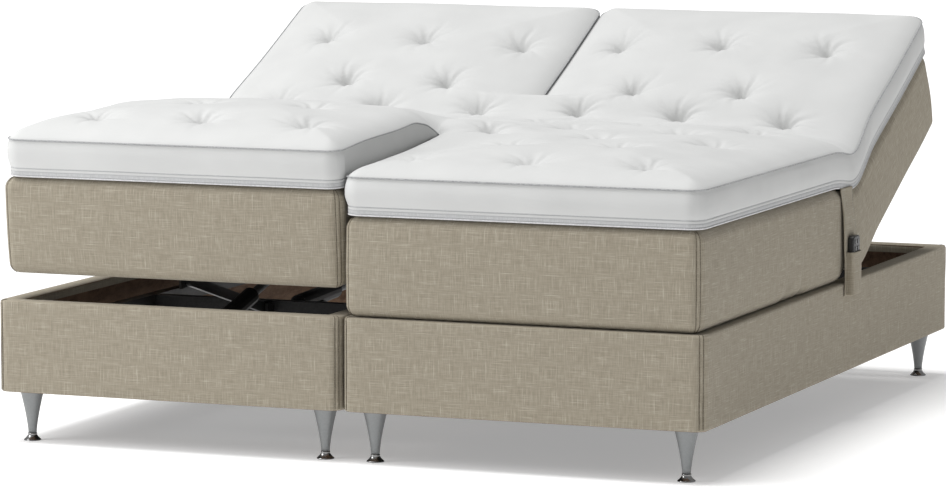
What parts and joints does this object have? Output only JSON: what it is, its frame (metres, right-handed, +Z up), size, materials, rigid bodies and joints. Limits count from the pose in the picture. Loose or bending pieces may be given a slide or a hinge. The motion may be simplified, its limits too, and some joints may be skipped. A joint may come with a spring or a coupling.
{
  "type": "adjustable bed base",
  "caption": "Double adjustable bed: linen-covered boxes on tapered legs, hinged back and leg sections raised by electric drives, tufted topper and a handset in a fabric pocket.",
  "frame": {"origin": "middle of the bed's footprint, on the floor", "axes": "+Y towards the head end, +Z up, +X to the right as seen from the foot end"},
  "size_m": [1.824, 2.0015, 0.983],
  "materials": {
    "linen": "matte",
    "topper": "matte",
    "chipboard": "matte",
    "panel_board": "matte",
    "black_steel": "satin",
    "grey_steel": "satin",
    "chrome": "polished",
    "black_plastic": "satin",
    "key_plastic": "satin"
  },
  "bodies": {
    "base": {"left_box_frame": "chipboard", "left_box_cover": "linen", "left_foot_outer_leg": "grey_steel", "left_foot_outer_glide": "chrome", "left_foot_inner_leg": "grey_steel", "left_foot_inner_glide": "chrome", "left_head_outer_leg": "grey_steel", "left_head_outer_glide": "chrome", "left_head_inner_leg": "grey_steel", "left_head_inner_glide": "chrome", "left_sub_frame": "black_steel", "left_seat_block": "linen", "right_box_frame": "chipboard", "right_box_cover": "linen", "right_foot_outer_leg": "grey_steel", "right_foot_outer_glide": "chrome", "right_foot_inner_leg": "grey_steel", "right_foot_inner_glide": "chrome", "right_head_outer_leg": "grey_steel", "right_head_outer_glide": "chrome", "right_head_inner_leg": "grey_steel", "right_head_inner_glide": "chrome", "right_sub_frame": "black_steel", "right_seat_block": "linen", "topper_seat": "topper", "handset_holder": "linen"},
    "left_back": {"left_back_panel": "panel_board", "left_back_block": "linen", "left_topper_back": "topper"},
    "left_thigh": {"left_thigh_panel": "panel_board", "left_thigh_block": "linen", "left_topper_thigh": "topper"},
    "left_calf": {"left_calf_panel": "panel_board", "left_calf_block": "linen", "left_topper_calf": "topper"},
    "left_back_drive_housing": {"left_back_drive_housing": "black_plastic"},
    "left_back_drive_rod": {"left_back_drive_rod": "grey_steel"},
    "left_leg_drive_housing": {"left_leg_drive_housing": "black_plastic"},
    "left_leg_drive_rod": {"left_leg_drive_rod": "grey_steel"},
    "left_calf_link": {"left_calf_link": "black_steel"},
    "right_back": {"right_back_panel": "panel_board", "right_back_block": "linen", "right_topper_back": "topper"},
    "right_thigh": {"right_thigh_panel": "panel_board", "right_thigh_block": "linen", "right_topper_thigh": "topper"},
    "right_calf": {"right_calf_panel": "panel_board", "right_calf_block": "linen", "right_topper_calf": "topper"},
    "right_back_drive_housing": {"right_back_drive_housing": "black_plastic"},
    "right_back_drive_rod": {"right_back_drive_rod": "grey_steel"},
    "right_leg_drive_housing": {"right_leg_drive_housing": "black_plastic"},
    "right_leg_drive_rod": {"right_leg_drive_rod": "grey_steel"},
    "right_calf_link": {"right_calf_link": "black_steel"},
    "handset": {"handset": "black_plastic"},
    "handset_button_1": {"handset_button_1": "key_plastic"},
    "handset_button_2": {"handset_button_2": "key_plastic"},
    "handset_button_3": {"handset_button_3": "key_plastic"},
    "handset_button_4": {"handset_button_4": "key_plastic"}
  },
  "joints": [
    {"name": "left_back_tilt", "type": "hinge", "parent": "base", "child": "left_back", "pos_m": [-0.463, 0.205, 0.338], "axis": [1, 0, 0], "range_deg": [-25, 25]},
    {"name": "left_thigh_tilt", "type": "hinge", "parent": "base", "child": "left_thigh", "pos_m": [-0.463, -0.1, 0.338], "axis": [-1, 0, 0], "range_deg": [-22, 10]},
    {"name": "left_calf_tilt", "type": "hinge", "parent": "left_thigh", "child": "left_calf", "pos_m": [-0.463, -0.37816, 0.45038], "axis": [1, 0, 0], "range_deg": [-26.41, 12.01]},
    {"name": "left_back_drive_swing", "type": "hinge", "parent": "base", "child": "left_back_drive_housing", "pos_m": [-0.463, -0.26, 0.266], "axis": [1, 0, 0], "range_deg": [-2.17, 2.17]},
    {"name": "left_back_drive_stroke", "type": "slide", "parent": "left_back_drive_housing", "child": "left_back_drive_rod", "axis": [0, 0.9991, 0.0418], "range_m": [-0.02409, 0.02409]},
    {"name": "left_leg_drive_swing", "type": "hinge", "parent": "base", "child": "left_leg_drive_housing", "pos_m": [-0.441, -0.8, 0.266], "axis": [1, 0, 0], "range_deg": [-9.77, 4.45]},
    {"name": "left_leg_drive_stroke", "type": "slide", "parent": "left_leg_drive_housing", "child": "left_leg_drive_rod", "axis": [0, 0.9697, 0.2444], "range_m": [-0.02835, 0.01289]},
    {"name": "left_calf_link_swing", "type": "hinge", "parent": "base", "child": "left_calf_link", "pos_m": [-0.503, -0.34, 0.268], "axis": [1, 0, 0], "range_deg": [-4.94, 10.87]},
    {"name": "right_back_tilt", "type": "hinge", "parent": "base", "child": "right_back", "pos_m": [0.439, 0.205, 0.338], "axis": [1, 0, 0], "range_deg": [-25, 25]},
    {"name": "right_thigh_tilt", "type": "hinge", "parent": "base", "child": "right_thigh", "pos_m": [0.439, -0.1, 0.338], "axis": [-1, 0, 0], "range_deg": [0, 32]},
    {"name": "right_calf_tilt", "type": "hinge", "parent": "right_thigh", "child": "right_calf", "pos_m": [0.439, -0.4, 0.338], "axis": [1, 0, 0], "range_deg": [0, 38.41]},
    {"name": "right_back_drive_swing", "type": "hinge", "parent": "base", "child": "right_back_drive_housing", "pos_m": [0.439, -0.26, 0.266], "axis": [1, 0, 0], "range_deg": [-2.17, 2.17]},
    {"name": "right_back_drive_stroke", "type": "slide", "parent": "right_back_drive_housing", "child": "right_back_drive_rod", "axis": [0, 0.9991, 0.0418], "range_m": [-0.02409, 0.02409]},
    {"name": "right_leg_drive_swing", "type": "hinge", "parent": "base", "child": "right_leg_drive_housing", "pos_m": [0.461, -0.8, 0.266], "axis": [1, 0, 0], "range_deg": [0, 14.21]},
    {"name": "right_leg_drive_stroke", "type": "slide", "parent": "right_leg_drive_housing", "child": "right_leg_drive_rod", "axis": [0, 0.9971, 0.0764], "range_m": [0, 0.04123]},
    {"name": "right_calf_link_swing", "type": "hinge", "parent": "base", "child": "right_calf_link", "pos_m": [0.399, -0.34, 0.268], "axis": [1, 0, 0], "range_deg": [-15.8, 0]},
    {"name": "handset_lift", "type": "slide", "parent": "base", "child": "handset", "axis": [0, 0, 1], "range_m": [0, 0.11]},
    {"name": "handset_button_1_press", "type": "slide", "parent": "handset", "child": "handset_button_1", "axis": [-1, 0, 0], "range_m": [0, 0.001], "stiffness_N_per_m": 400},
    {"name": "handset_button_2_press", "type": "slide", "parent": "handset", "child": "handset_button_2", "axis": [-1, 0, 0], "range_m": [0, 0.001], "stiffness_N_per_m": 400},
    {"name": "handset_button_3_press", "type": "slide", "parent": "handset", "child": "handset_button_3", "axis": [-1, 0, 0], "range_m": [0, 0.001], "stiffness_N_per_m": 400},
    {"name": "handset_button_4_press", "type": "slide", "parent": "handset", "child": "handset_button_4", "axis": [-1, 0, 0], "range_m": [0, 0.001], "stiffness_N_per_m": 400}
  ],
  "couplings": [
    {"joint": "left_calf_tilt", "follows": "left_thigh_tilt", "ratio": 1.2},
    {"joint": "left_back_drive_swing", "follows": "left_back_tilt", "ratio": 0.08634},
    {"joint": "left_back_drive_stroke", "follows": "left_back_tilt", "m_per_rad": 0.055184},
    {"joint": "left_leg_drive_swing", "follows": "left_thigh_tilt", "ratio": 0.44384},
    {"joint": "left_leg_drive_stroke", "follows": "left_thigh_tilt", "m_per_rad": 0.073804},
    {"joint": "left_calf_link_swing", "follows": "left_thigh_tilt", "ratio": -0.49346},
    {"joint": "right_calf_tilt", "follows": "right_thigh_tilt", "ratio": 1.2},
    {"joint": "right_back_drive_swing", "follows": "right_back_tilt", "ratio": 0.08634},
    {"joint": "right_back_drive_stroke", "follows": "right_back_tilt", "m_per_rad": 0.055184},
    {"joint": "right_leg_drive_swing", "follows": "right_thigh_tilt", "ratio": 0.44384},
    {"joint": "right_leg_drive_stroke", "follows": "right_thigh_tilt", "m_per_rad": 0.073804},
    {"joint": "right_calf_link_swing", "follows": "right_thigh_tilt", "ratio": -0.49346}
  ]
}
